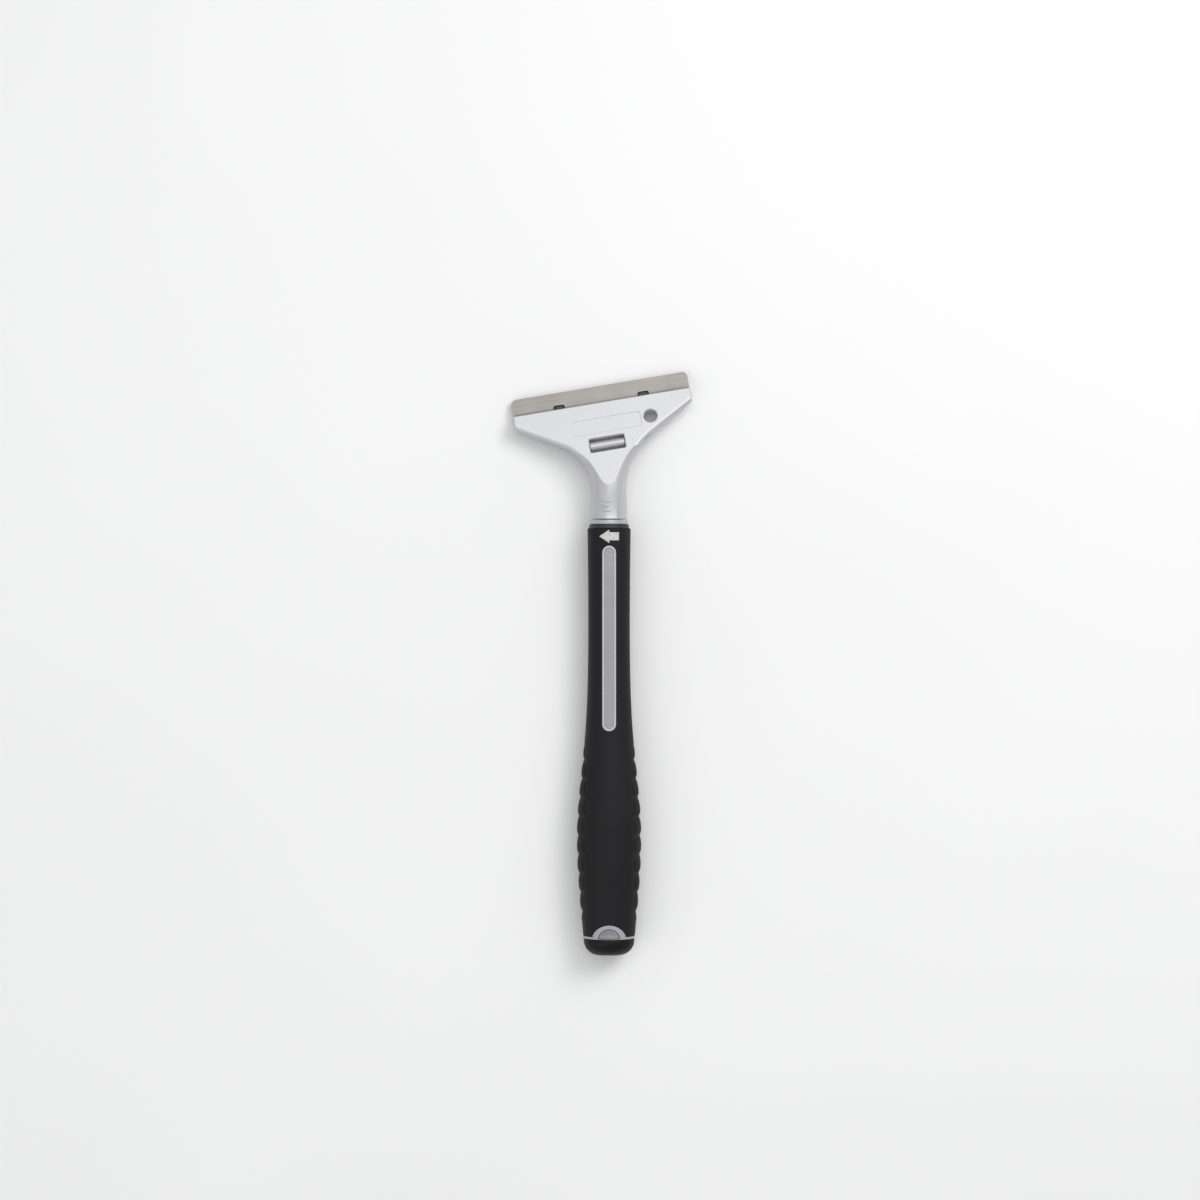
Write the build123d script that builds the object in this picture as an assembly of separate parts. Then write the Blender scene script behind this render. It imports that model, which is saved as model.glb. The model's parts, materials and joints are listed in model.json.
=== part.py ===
from build123d import *
from math import cos, exp, radians, sin, tan
import os

# Twist-handle blade scraper: a skewed head clamps a 4 inch blade, spare blades lie in the handle.
#
# Working frame, in millimetres: +Y runs from the handle's end towards the blade, +Z is the front, +X is
# to the right, and the handle's axis is the Y axis. The finished part is moved so that its origin is the
# centre of the bottom of its bounding box, with the tool lying on its back.

os.makedirs("parts", exist_ok=True)

# ---- Handle ----
HANDLE_END = 11.2                 # lower end of the moulded core and skin
HANDLE_TOP = 241.3                # upper end of the core and skin
SLIM_WIDTH, SLIM_DEPTH = 11.7, 10.4    # half-width and half-depth of the slim upper handle
SWELL_WIDTH, SWELL_DEPTH = 6.4, 4.6    # what the grip's swell adds to them at its fullest
SWELL_Y, SWELL_BELOW, SWELL_ABOVE = 66.0, 62.0, 53.0
FLARE_FROM, FLARE_LENGTH, FLARE = 180.0, 60.0, 0.5
STATION_FIRST, STATION_LAST, STATIONS = 8.0, 243.0, 17
SKIN = 1.8                        # thickness of the overmoulded skin
RIB_BAND = (69, 50, 9.4)          # centre, half-length and half-height of a side band
RIB_PITCH = 10.7
RIB_COUNT = 9
RIB_START = 25.5
RIB_DEPTH = 0.8
RIB_RADIUS = 9
STRIP_BOTTOM, STRIP_TOP, STRIP_WIDTH = 126.9, 231.4, 7.9
STRIP_RIM, STRIP_PROUD, STRIP_DEEP = 1.1, 0.2, 0.45
STRIP_DIMPLE, STRIP_DIMPLE_DEEP = 1.3, 0.4    # radius and extra depth of the mark at its top end
ARROW_Y, ARROW_LENGTH, ARROW_HEAD, ARROW_SHAFT = 236.6, 11.2, 7.6, 4.7
ARROW_HEAD_LENGTH = 5.4
ARROW_DEEP, ARROW_PROUD = 0.3, 0.05

# ---- Blade ----
BLADE_LENGTH, BLADE_WIDTH, BLADE_THICK = 101.6, 18.0, 0.6
BLADE_SHOWS = 11.2                # width of blade in front of the jaws
BLADE_CORNER = 3.0
EDGE_BEVEL, EDGE_BEVEL_LONG = 0.25, 1.2       # the cutting edge's bevel: depth and width
SLOT_PITCH, SLOT_LENGTH, SLOT_WIDTH = 48.5, 6.8, 3.0
PEG_LENGTH, PEG_WIDTH = 4.8, 1.6
PEG_PROUD, PEG_WELL = 0.1, 1.6    # height above the blade's face, and depth of the well round each peg
SPARE_BLADES, SPARE_GAP = 5, 0.05

# ---- Head ----
SKEW = 9.5                        # the blade's turn about the front direction
BEND = 16.0                       # the head's lean back from the handle's axis
BLADE_X, SEAM_Y = -4.4, 313.1     # middle of the front plate's straight edge
PLATE = 4.0                       # front plate thickness
BLADE_GAP = 0.05                  # between the plate and the blade's face
END_FACE = 8.3                    # height of the plate's end faces
WING_ANGLE = 29.2                 # rise of the wings from the neck to the end faces
WING_FILLETS = (25, 40)           # left and right
NECK_HALF = 9.8
NECK_BOTTOM = 246.5
OUTLINE_BOTTOM = 259.5            # where the plan outline's straight sides meet the round neck
# The neck's ovals: (x and y of the centre, half-width, half-depth, turn in degrees)
NECK_SECTIONS = [(0, 246.5, 9.8, 9.0, 0), (0, 260, 9.8, 9.0, 0), (-0.25, 270, 10.5, 8.8, 0),
                 (-0.6, 277.5, 13.1, 7.6, 4), (-0.7, 287, 20.2, 5.7, SKEW)]
PLATE_ROOT = -29.0                # the plate's lower limit, where the neck takes over
WING_EDGE = 2.2                   # rounding along the wings' lower edges
BROKEN_EDGE = 0.5                 # small chamfer on the plate's other edges
NECK_SHOULDER = -33.0             # where the thick neck stops behind the front plate
WINDOW_U, WINDOW_V, WINDOW_LONG, WINDOW_HIGH, WINDOW_CORNER = -0.6, -24.9, 20.0, 8.0, 0.8
HOLE_U, HOLE_V, HOLE_RADIUS = 26.1, -12.9, 3.75
PANEL_LONG, PANEL_HIGH, PANEL_U, PANEL_V, PANEL_DEEP, PANEL_CORNER = 38.8, 8.8, 1.2, -13.5, 0.2, 1.0
TAIL_SLOT = (266.0, 292.0, -1.0)  # lower end, upper end and floor of the slot behind, for the jaw's tail

# ---- Jaw ----
JAW_BACK = -9.4                   # rear face of the jaw, from the front plate's face
JAW_FACE = -6.2                   # front face of the jaw's thin web
JAW_LIP = 5.5                     # reach of the jaw under the blade
JAW_INSET = 1.0
JAW_EDGE = 0.6                    # chamfer round the jaw's back
LIP_MARGIN = 0.6                  # how far the lip runs in behind the blade
LUG_RADIUS, LUG_END_GAP = 2.15, 0.4
PIN_RADIUS, PIN_DEPTH, PIN_OVERHANG, PIN_LENGTH = 1.1, 2.2, 4.0, 40.0
RUNNING = 0.06                    # radial running clearance
JAW_OPENING = 3.2                 # degrees
TAIL_HALF, TAIL_THICK, TAIL_TOP = 4.0, 3.6, 287.0
TAIL_ROOM = 0.6                   # side room round the tail in its slot
TAIL_STEP, TAIL_CLEAR = 1.5, 0.25 # the tail starts this far up the cone, and clears it by this much
TAIL_RELIEF, RELIEF_TOP, RELIEF_SIDE = 0.6, 291.0, 2.0   # the back is sunk round the tail's root
RIM_WIDTH, RIB_HALF, POCKET_DEPTH = 3.0, 2.2, 1.2   # the rear pockets' rim, middle rib and depth
PIVOT_BAR_HALF, HOLE_BOSS = 4.0, 3.8   # solid bands left in the pockets: at the pivot, round the hole
JAW_HOLE_ROOM = 1.3               # how much wider the jaw's hole is than the hang hole
JAW_SPRING_V, JAW_SPRING_RADIUS, JAW_SPRING_SEAT = -14.0, 2.6, 1.0
JAW_SPRING_WIRE, JAW_SPRING_PITCH = 0.35, 1.0
SPRING_ROOM, SPRING_END_GAP = 0.3, 0.05

# ---- Clamp ----
SCREW_RADIUS, THREAD_DEPTH, PITCH, TURNS = 4.0, 0.6, 2.0, 1.5
CONE_START, CONE_END, CONE_TIP = 267.0, 274.6, 1.0
SCREW_ROOM = 0.5                  # radial room round the screw above the bush
CONE_ROOM_START, CONE_ROOM_LENGTH, CONE_ROOM_TIP = 272.0, 6.0, 1.8
SPIGOT_RADIUS, SPIGOT_FLAT, SPIGOT_END = 7.0, 6.2, 238.0
SPIGOT_ROOM = 0.6                 # radial room round the spigot in the core
BUSH_RADIUS, BUSH_BOTTOM, BUSH_TOP = 5.6, 244.0, 262.0
RING_RADIUS, RING_BOTTOM, RING_TOP = 10.7, 243.4, 246.0
RING_EDGE, RING_SLIP = 0.4, 0.08
WASHER_RADIUS, WASHER_GAP, WASHER_BORE_ROOM = 11.3, 0.1, 0.4
HEX_FLATS, HEX_BOTTOM, HEX_TOP = 13.0, 212.0, 217.5
CROSS_PIN_Y, CROSS_PIN_RADIUS, CROSS_PIN_LENGTH = 226.0, 1.5, 16.0

# ---- End plug and storage ----
FLANGE_BOTTOM, FLANGE_TOP = 9.7, 11.0
BOSS_HALF, BOSS_DEPTH, BOSS_TOP = 11.0, 8.8, 22.0
BOSS_ROOM, BOSS_END_ROOM = 0.2, 0.3
PLUG_SPIGOT_BOTTOM, PLUG_SPIGOT_DEPTH = 3.0, 8.5   # the part of the plug inside the boot
ARCH_HALF, ARCH_TOP, ARCH_SPRING = 9.2, 17.8, 0.62 # the arch springs this share of its half-width down
ARCH_FOOT, ARCH_FLOOR, ARCH_ROOM = 8.0, 3.0, 0.2
PAD_RADIUS, PAD_Y, PAD_BOTTOM = 6.3, 9.4, 10.0
PAD_GAP, PAD_FLOOR, PAD_UNDERSIDE = 0.3, 0.8, 3.5
PRESS = 1.6                       # travel of the latch
ARM_HALF, ARM_LOW, ARM_HIGH, ARM_END = 2.4, 6.4, 7.9, 21.2
ARM_ROOM, ARM_SLOT_FLOOR = 0.3, 4.6
NOSE_START, NOSE_HIGH = 19.4, 8.6
CATCH_HALF, CATCH_START, CATCH_FLOOR, CATCH_HIGH = 2.8, 19.1, 8.0, 9.9
LATCH_SPRING_WIRE, LATCH_SPRING_PITCH, LATCH_SPRING_RADIUS, LATCH_SPRING_LONG = 0.3, 0.85, 1.7, 2.6
LATCH_SPRING_Y, LATCH_SPRING_FOOT = 12.8, 0.85
BOOT_HALF, BOOT_DEPTH, BOOT_ROUND = 14.35, 11.65, 8.8
CAVITY_HALF, CAVITY_DEPTH, CAVITY_TOP = 9.6, 3.4, 127.0
NECK_BORE = 7.0                   # radius of the lightening bore above the cavity
NECK_BORE_OVERLAP, NECK_BORE_END = 8.0, 206.0
CARRIER_HALF, CARRIER_THICK, CARRIER_BOTTOM, CARRIER_TOP = 7.5, 1.8, 14.0, 125.0
CARRIER_FACE = -0.8               # height of the carrier's face, which the spare blades lie on
CARRIER_END_GAP, CARRIER_PEG_ROOM = 0.5, 0.4
CARRIER_PIN_X, CARRIER_PIN_Y, CARRIER_PIN_Z = 5.0, 19.0, -1.0
CARRIER_PIN_RADIUS, CARRIER_PIN_LENGTH = 1.2, 11.0
STORAGE_TRAVEL = 115.0
BIG = 400                         # larger than the whole tool, for trimming


def across(y):
    """A plane square to the handle's axis, with its own x along X."""
    return Plane(origin=(0, y, 0), x_dir=(1, 0, 0), z_dir=(0, 1, 0))


def rod(radius, y0, y1, x=0.0, z=0.0):
    """A round bar along the handle's axis."""
    return Plane(origin=(x, y0, z), x_dir=(1, 0, 0), z_dir=(0, 1, 0)) * extrude(Circle(radius), y1 - y0)


def block(x0, x1, y0, y1, z0, z1):
    return Pos((x0 + x1) / 2, (y0 + y1) / 2, (z0 + z1) / 2) * Box(x1 - x0, y1 - y0, z1 - z0)


def half_sizes(y):
    """Half-width and half-depth of the skin: a slim oval with a bell-shaped swell and a slight flare."""
    spread = SWELL_BELOW if y < SWELL_Y else SWELL_ABOVE
    swell = exp(-((y - SWELL_Y) / spread) ** 2)
    flare = FLARE * (max(0.0, y - FLARE_FROM) / FLARE_LENGTH) ** 2
    return SLIM_WIDTH + SWELL_WIDTH * swell + flare, SLIM_DEPTH + SWELL_DEPTH * swell + flare


def handle_form(inset, y0, y1):
    """The handle's smooth outer form, drawn in by inset, between two distances from its end."""
    rings = []
    for i in range(STATIONS):
        y = STATION_FIRST + (STATION_LAST - STATION_FIRST) * i / (STATIONS - 1)
        a, b = half_sizes(y)
        rings.append(across(y) * Ellipse(a - inset, b - inset))
    return loft(rings) & block(-BIG, BIG, y0, y1, -BIG, BIG)


def single(shape):
    """The one solid of a shape, so that each piece is written as a plain solid."""
    solids = shape.solids()
    if len(solids) != 1:
        raise ValueError(f"expected one solid, found {len(solids)}")
    return solids[0]


# ---- The head's own frame: u along the blade, v towards its edge, w out of the front ----
GRIP_HALF_DEPTH = SLIM_DEPTH + SWELL_DEPTH
SKEW_C, SKEW_S = cos(radians(SKEW)), sin(radians(SKEW))
BEND_C, BEND_S = cos(radians(BEND)), sin(radians(BEND))
# The jaw's rear corner and the grip's belly lie at the same height, so the tool rests on both.
SEAM_Z = -GRIP_HALF_DEPTH + JAW_LIP * BEND_S - JAW_BACK * BEND_C
HEAD = Plane(origin=(BLADE_X, SEAM_Y, SEAM_Z), x_dir=(SKEW_C, SKEW_S, 0),
             z_dir=(-SKEW_S * BEND_S, SKEW_C * BEND_S, BEND_C))
BLADE_FRONT = -PLATE - BLADE_GAP  # the blade's front face
BLADE_REAR = BLADE_FRONT - BLADE_THICK
BLADE_MID = BLADE_SHOWS - BLADE_WIDTH / 2


def head_block(u0, u1, v0, v1, w0, w1):
    return HEAD * Pos((u0 + u1) / 2, (v0 + v1) / 2, (w0 + w1) / 2) * Box(u1 - u0, v1 - v0, w1 - w0)


def slab(w0, w1):
    return head_block(-BIG, BIG, -BIG, BIG, w0, w1)


def head_rod(u, v, radius, w0, w1):
    return HEAD * Pos(u, v, w0) * extrude(Circle(radius), w1 - w0)


def plan(u, v):
    """A point of the head's plan view, in the tool's own X and Y."""
    return (BLADE_X + u * SKEW_C - v * SKEW_S, SEAM_Y + u * SKEW_S + v * SKEW_C)


def head_plan(inset, reach):
    """The head's outline seen from the front: two wings that sweep into the neck's straight sides."""
    end = BLADE_LENGTH / 2 - inset
    left, right = plan(-end, -END_FACE + inset), plan(end, -END_FACE + inset)
    side = NECK_HALF - inset
    left_rise = tan(radians(-WING_ANGLE + SKEW))
    right_rise = tan(radians(WING_ANGLE + SKEW))
    left_root = (-side, left[1] + (-side - left[0]) * left_rise)
    right_root = (side, right[1] + (side - right[0]) * right_rise)
    face = make_face(Polyline(
        plan(-end, reach), plan(end, reach), right, right_root, (side, OUTLINE_BOTTOM),
        (-side, OUTLINE_BOTTOM), left_root, left, close=True))
    for root, radius in zip((left_root, right_root), WING_FILLETS):
        corner = face.vertices().sort_by_distance((*root, 0))[0]
        face = fillet(corner, radius)
    return Pos(0, 0, -BIG / 2) * extrude(face, BIG)


def slot_prism(length, width, w0, w1):
    slot = extrude(SlotOverall(length, width), w1 - w0)
    return [HEAD * Pos(s * SLOT_PITCH / 2, BLADE_MID, w0) * slot for s in (-1, 1)]


def front_plate():
    """The plate, with a rounded edge along the wings and a broken edge elsewhere."""
    plate = single(head_plan(0, 0) & head_block(-BIG, BIG, -BIG, 0, -PLATE, 0))
    seam = Axis(HEAD.origin, HEAD.y_dir)
    rim = plate.faces().sort_by(Axis(HEAD.origin, HEAD.z_dir))[-1].edges()
    lower = [e for e in rim if seam.direction.dot(e.center() - HEAD.origin) < -END_FACE]
    plate = fillet(lower, WING_EDGE)
    rim = plate.faces().sort_by(Axis(HEAD.origin, HEAD.z_dir))[-1].edges()
    upper = [e for e in rim if seam.direction.dot(e.center() - HEAD.origin) > -END_FACE]
    plate = chamfer(upper, BROKEN_EDGE)
    return plate & head_block(-BIG, BIG, PLATE_ROOT, 0, -PLATE, 0)


def neck():
    """A round neck that flattens, widens and turns until it meets the plate's flat face."""
    sections = []
    for x, y, a, b, turn in NECK_SECTIONS:
        c, s = cos(radians(turn)), sin(radians(turn))
        sections.append(Plane(origin=(x, y, 0), x_dir=(c, s, 0), z_dir=(-s, c, 0)) * Ellipse(a, b))
    form = loft(sections) & head_block(-BIG, BIG, -BIG, PLATE_ROOT, -BIG, 0)
    form -= head_block(-BIG, BIG, NECK_SHOULDER, BIG, -BIG, -PLATE)
    straight = form & block(-BIG, BIG, 0, OUTLINE_BOTTOM, -BIG, BIG)
    return straight + (form & head_plan(0, 0))


def spigot_form(grow, y0, y1):
    """A round spigot with two flats that keep the collar ring from turning."""
    flat = SPIGOT_FLAT + grow
    return rod(SPIGOT_RADIUS + grow, y0, y1) & block(-flat, flat, y0, y1, -BIG, BIG)


def head_casting():
    body = front_plate() + neck() + spigot_form(0, SPIGOT_END, NECK_BOTTOM)
    body -= rod(BUSH_RADIUS, SPIGOT_END, BUSH_TOP)
    body -= rod(SCREW_RADIUS + SCREW_ROOM, BUSH_TOP, CONE_ROOM_START)
    cone_room = Cone(SCREW_RADIUS + SCREW_ROOM, CONE_ROOM_TIP, CONE_ROOM_LENGTH)
    body -= across(CONE_ROOM_START) * Pos(0, 0, CONE_ROOM_LENGTH / 2) * cone_room
    half, (slot_low, slot_high, slot_floor) = TAIL_HALF + TAIL_ROOM, TAIL_SLOT
    body -= block(-half, half, slot_low, slot_high, -BIG, slot_floor) - slab(-PLATE, BIG)
    window = extrude(RectangleRounded(WINDOW_LONG, WINDOW_HIGH, WINDOW_CORNER), 3 * PLATE, both=True)
    body -= HEAD * Pos(WINDOW_U, WINDOW_V, 0) * window
    grown = 2 * BROKEN_EDGE
    relief = RectangleRounded(WINDOW_LONG + grown, WINDOW_HIGH + grown, WINDOW_CORNER + BROKEN_EDGE)
    body -= HEAD * Pos(WINDOW_U, WINDOW_V, 0) * extrude(relief, -BROKEN_EDGE, taper=45)
    body -= head_rod(HOLE_U, HOLE_V, HOLE_RADIUS, -2 * PLATE, PLATE)
    countersink = Cone(HOLE_RADIUS, HOLE_RADIUS + BROKEN_EDGE, BROKEN_EDGE)
    body -= HEAD * Pos(HOLE_U, HOLE_V, -BROKEN_EDGE / 2) * countersink
    panel = extrude(RectangleRounded(PANEL_LONG, PANEL_HIGH, PANEL_CORNER), PANEL_DEEP)
    body -= HEAD * Pos(PANEL_U, PANEL_V, -PANEL_DEEP) * panel
    body -= pin_bar(PIN_RADIUS)
    body -= head_rod(0, JAW_SPRING_V, JAW_SPRING_RADIUS + SPRING_ROOM, -PLATE, -PLATE + JAW_SPRING_SEAT)
    return single(body)


def pin_bar(radius):
    """The jaw's hinge line: a bar across the window, out to the plate's right-hand edge."""
    start = WINDOW_U - WINDOW_LONG / 2 - PIN_OVERHANG
    along = Plane(HEAD * Location((start, WINDOW_V, -PIN_DEPTH), (0, 90, 0)))
    return along * extrude(Circle(radius), PIN_LENGTH)


def pivot_pin():
    return single(pin_bar(PIN_RADIUS) & head_plan(0, 0))


def jaw_tail():
    """The tail that the screw's cone wedges; its top just clears the cone when the clamp is tight."""
    cone_slope = (SCREW_RADIUS - CONE_TIP) / (CONE_END - CONE_START)
    top = -(SCREW_RADIUS - cone_slope * TAIL_STEP + TAIL_CLEAR)
    return block(-TAIL_HALF, TAIL_HALF, CONE_START + TAIL_STEP, TAIL_TOP, top - TAIL_THICK, top)


def jaw_pockets():
    """Shallow pockets in the jaw's back, with a rim, a middle rib, and a band at the pivot."""
    side = TAIL_HALF + RELIEF_SIDE
    pocket = head_plan(JAW_INSET + RIM_WIDTH, 0) & slab(JAW_BACK, JAW_BACK + POCKET_DEPTH)
    pocket &= head_block(-BIG, BIG, -BIG, -1, -BIG, BIG)
    pocket -= head_block(-RIB_HALF, RIB_HALF, -BIG, BIG, -BIG, BIG)
    pocket -= head_block(-BIG, BIG, WINDOW_V - PIVOT_BAR_HALF, WINDOW_V + PIVOT_BAR_HALF, -BIG, BIG)
    pocket -= block(-side, side, 0, RELIEF_TOP, -BIG, BIG)
    return pocket - head_rod(HOLE_U, HOLE_V, HOLE_RADIUS + HOLE_BOSS, -BIG / 4, 0)


def rear_jaw():
    outline = head_plan(JAW_INSET, JAW_LIP) & head_block(-BIG, BIG, NECK_SHOULDER + 1, JAW_LIP, -BIG, BIG)
    body = single(outline & slab(JAW_BACK, JAW_FACE))
    rim = body.faces().sort_by(Axis(HEAD.origin, HEAD.z_dir))[0].edges()
    body = chamfer(rim, JAW_EDGE)
    lip_rear = BLADE_SHOWS - BLADE_WIDTH - LIP_MARGIN
    body += outline & head_block(-BIG, BIG, lip_rear, JAW_LIP, JAW_FACE, BLADE_REAR)
    for well in slot_prism(SLOT_LENGTH, SLOT_WIDTH, BLADE_REAR - PEG_WELL, BLADE_REAR):
        body -= well & outline
    for peg in slot_prism(PEG_LENGTH, PEG_WIDTH, BLADE_REAR - PEG_WELL, BLADE_FRONT + PEG_PROUD):
        body += peg
    half = WINDOW_LONG / 2 - LUG_END_GAP
    body += head_block(WINDOW_U - half, WINDOW_U + half, WINDOW_V - LUG_RADIUS, WINDOW_V + LUG_RADIUS,
                       JAW_FACE, -PIN_DEPTH)
    body += pin_bar(LUG_RADIUS) & head_block(WINDOW_U - half, WINDOW_U + half, -BIG, BIG, -BIG, BIG)
    body -= pin_bar(PIN_RADIUS + RUNNING)
    side = TAIL_HALF + RELIEF_SIDE
    body -= block(-side, side, 0, RELIEF_TOP, -BIG, BIG) & slab(JAW_BACK - 1, JAW_BACK + TAIL_RELIEF)
    body += jaw_tail()
    body -= head_rod(HOLE_U, HOLE_V, HOLE_RADIUS + JAW_HOLE_ROOM, -BIG / 4, 0)
    body -= head_rod(0, JAW_SPRING_V, JAW_SPRING_RADIUS + SPRING_ROOM, JAW_FACE - JAW_SPRING_SEAT, JAW_FACE)
    return single(body - jaw_pockets())


def jaw_spring():
    """Compression spring of round wire that holds the two plates apart."""
    low = JAW_FACE - JAW_SPRING_SEAT + SPRING_END_GAP
    high = -PLATE + JAW_SPRING_SEAT - SPRING_END_GAP
    wire = JAW_SPRING_WIRE
    coil = Helix(pitch=JAW_SPRING_PITCH, height=high - low - 2 * wire, radius=JAW_SPRING_RADIUS - wire)
    section = Plane(origin=coil @ 0, z_dir=coil % 0) * Circle(wire)
    return single(HEAD * Pos(0, JAW_SPRING_V, low + wire) * sweep(section, path=coil, is_frenet=True))


def blade_solid():
    """One blade, lying in XY on z = 0 with its slots on the middle line; its sharp edge is at -y."""
    outline = RectangleRounded(BLADE_LENGTH, BLADE_WIDTH, BLADE_CORNER)
    outline += Pos(0, -BLADE_WIDTH / 4) * Rectangle(BLADE_LENGTH, BLADE_WIDTH / 2)
    for side in (-1, 1):
        outline -= Pos(side * SLOT_PITCH / 2, 0) * SlotOverall(SLOT_LENGTH, SLOT_WIDTH)
    body = extrude(outline, BLADE_THICK)
    end_face = body.faces().sort_by(Axis.Y)[0]
    long_edges = end_face.edges().filter_by(Axis.X)
    return single(chamfer(long_edges, EDGE_BEVEL, EDGE_BEVEL_LONG, reference=end_face))


def blade():
    return single(HEAD * Pos(0, BLADE_MID, BLADE_REAR) * blade_solid())


def spare_blades():
    lie_along = Rot(0, 0, 90)
    middle = CARRIER_TOP - CARRIER_END_GAP - BLADE_LENGTH / 2
    step = BLADE_THICK + SPARE_GAP
    stack = [Pos(0, middle, CARRIER_FACE + SPARE_GAP + i * step) * lie_along * blade_solid()
             for i in range(SPARE_BLADES)]
    return Compound(children=[s.solid() for s in stack])


def clamp_bush():
    bore = rod(SCREW_RADIUS + RUNNING, BUSH_BOTTOM, BUSH_TOP)
    return single(rod(BUSH_RADIUS, BUSH_BOTTOM, BUSH_TOP) - bore)


def clamp_screw():
    """Turned bar: hex head in the core, thread rings through the bush, and the cone that wedges."""
    root = SCREW_RADIUS - THREAD_DEPTH
    y = BUSH_BOTTOM - PITCH
    points = [(0, HEX_TOP), (SCREW_RADIUS, HEX_TOP), (SCREW_RADIUS, y)]
    while y + PITCH < CONE_START - PITCH / 2:
        points += [(root, y + PITCH / 2), (SCREW_RADIUS, y + PITCH)]
        y += PITCH
    points += [(SCREW_RADIUS, CONE_START), (CONE_TIP, CONE_END), (0, CONE_END)]
    half = make_face(Polyline(*points, close=True))
    body = revolve(half, Axis.Y)
    hexagon = RegularPolygon(HEX_FLATS / 2, 6, major_radius=False)
    body += across(HEX_BOTTOM) * extrude(hexagon, HEX_TOP - HEX_BOTTOM)
    return single(body - cross_pin_bar())


def cross_pin_bar():
    return Pos(0, CROSS_PIN_Y, 0) * Cylinder(CROSS_PIN_RADIUS, CROSS_PIN_LENGTH)


def collar_ring():
    ring = rod(RING_RADIUS, RING_BOTTOM, RING_TOP)
    ring = fillet(ring.edges().filter_by(GeomType.CIRCLE), RING_EDGE)
    return single(ring - spigot_form(RING_SLIP, RING_BOTTOM, RING_TOP))


def thrust_washer():
    bottom, top = HANDLE_TOP, RING_BOTTOM - WASHER_GAP
    return single(rod(WASHER_RADIUS, bottom, top) - rod(SPIGOT_RADIUS + WASHER_BORE_ROOM, bottom, top))


def arch_prism(grow):
    """The arch-shaped window at the handle's end, cut from the front only."""
    half = ARCH_HALF + grow
    spring = ARCH_TOP + grow - half * ARCH_SPRING
    arch = make_face(Polyline((-half, spring), (-half, ARCH_FOOT), (half, ARCH_FOOT), (half, spring))
                     + ThreePointArc((half, spring), (0, ARCH_TOP + grow), (-half, spring)))
    return extrude(arch, BIG)


def strip_prism(inset):
    length, middle = STRIP_TOP - STRIP_BOTTOM, (STRIP_TOP + STRIP_BOTTOM) / 2
    form = SlotOverall(length - 2 * inset, STRIP_WIDTH - 2 * inset)
    return Pos(0, middle, 0) * Rot(0, 0, 90) * extrude(form, BIG)


def arrow_prism():
    tip, tail = -ARROW_LENGTH / 2, ARROW_LENGTH / 2
    neck_x = tip + ARROW_HEAD_LENGTH
    upper = [(tip, 0), (neck_x, ARROW_HEAD / 2), (neck_x, ARROW_SHAFT / 2), (tail, ARROW_SHAFT / 2)]
    lower = [(x, -y) for x, y in reversed(upper[1:])]
    return Pos(0, ARROW_Y, 0) * extrude(make_face(Polyline(*upper, *lower, close=True)), BIG)


def band_prism(side, grow):
    """The lens-shaped side band, as a prism out to one side."""
    middle, half_length, half_height = RIB_BAND
    to_side = Plane(origin=(0, middle, 0), x_dir=(0, 1, 0), z_dir=(side, 0, 0))
    return to_side * extrude(Ellipse(half_length + grow, half_height + grow), BIG)


def handle_skin(inset):
    return handle_form(-inset, HANDLE_END, HANDLE_TOP) - handle_form(SKIN, 0, BIG)


def grip_sleeve():
    body = handle_skin(0) - arch_prism(ARCH_ROOM) - strip_prism(0)
    body -= arrow_prism() - handle_form(ARROW_DEEP, 0, BIG)
    for side in (-1, 1):
        body -= band_prism(side, 0)
    return single(body)


def rib_pad(side):
    body = handle_skin(0) & band_prism(side, 0)
    for i in range(RIB_COUNT):
        y = RIB_START + i * RIB_PITCH
        x = side * (half_sizes(y)[0] + RIB_RADIUS - RIB_DEPTH)
        body -= Pos(x, y, 0) * Cylinder(RIB_RADIUS, 4 * SLIM_WIDTH)
    return single(body)


def strip_inlay():
    body = handle_skin(STRIP_PROUD) & strip_prism(0)
    body -= strip_prism(STRIP_RIM) - handle_form(STRIP_DEEP, 0, BIG)
    dimple = Pos(0, STRIP_TOP - STRIP_WIDTH / 2, 0) * extrude(Circle(STRIP_DIMPLE), BIG)
    return single(body - (dimple - handle_form(STRIP_DEEP + STRIP_DIMPLE_DEEP, 0, BIG)))


def direction_arrow():
    layer = handle_form(-ARROW_PROUD, 0, BIG) - handle_form(ARROW_DEEP, 0, BIG)
    return single(layer & arrow_prism())


def handle_core():
    body = handle_form(SKIN, HANDLE_END, HANDLE_TOP)
    socket = Ellipse(BOSS_HALF + BOSS_ROOM, BOSS_DEPTH + BOSS_ROOM)
    body -= across(HANDLE_END) * extrude(socket, BOSS_TOP + BOSS_END_ROOM - HANDLE_END)
    body -= block(-CAVITY_HALF, CAVITY_HALF, BOSS_TOP, CAVITY_TOP, -CAVITY_DEPTH, CAVITY_DEPTH)
    body -= rod(NECK_BORE, CAVITY_TOP - NECK_BORE_OVERLAP, NECK_BORE_END)
    body -= rod(SPIGOT_RADIUS + SPIGOT_ROOM, SPIGOT_END - 2, HANDLE_TOP)
    body -= rod(SCREW_RADIUS, HEX_TOP, HANDLE_TOP)
    hexagon = RegularPolygon(HEX_FLATS / 2, 6, major_radius=False)
    body -= across(HEX_BOTTOM) * extrude(hexagon, HEX_TOP - HEX_BOTTOM)
    body -= cross_pin_bar()
    body -= arch_prism(ARCH_ROOM)
    body -= block(-CATCH_HALF, CATCH_HALF, CATCH_START, BOSS_TOP + BOSS_ROOM, CATCH_FLOOR, CATCH_HIGH)
    return single(body)


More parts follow.
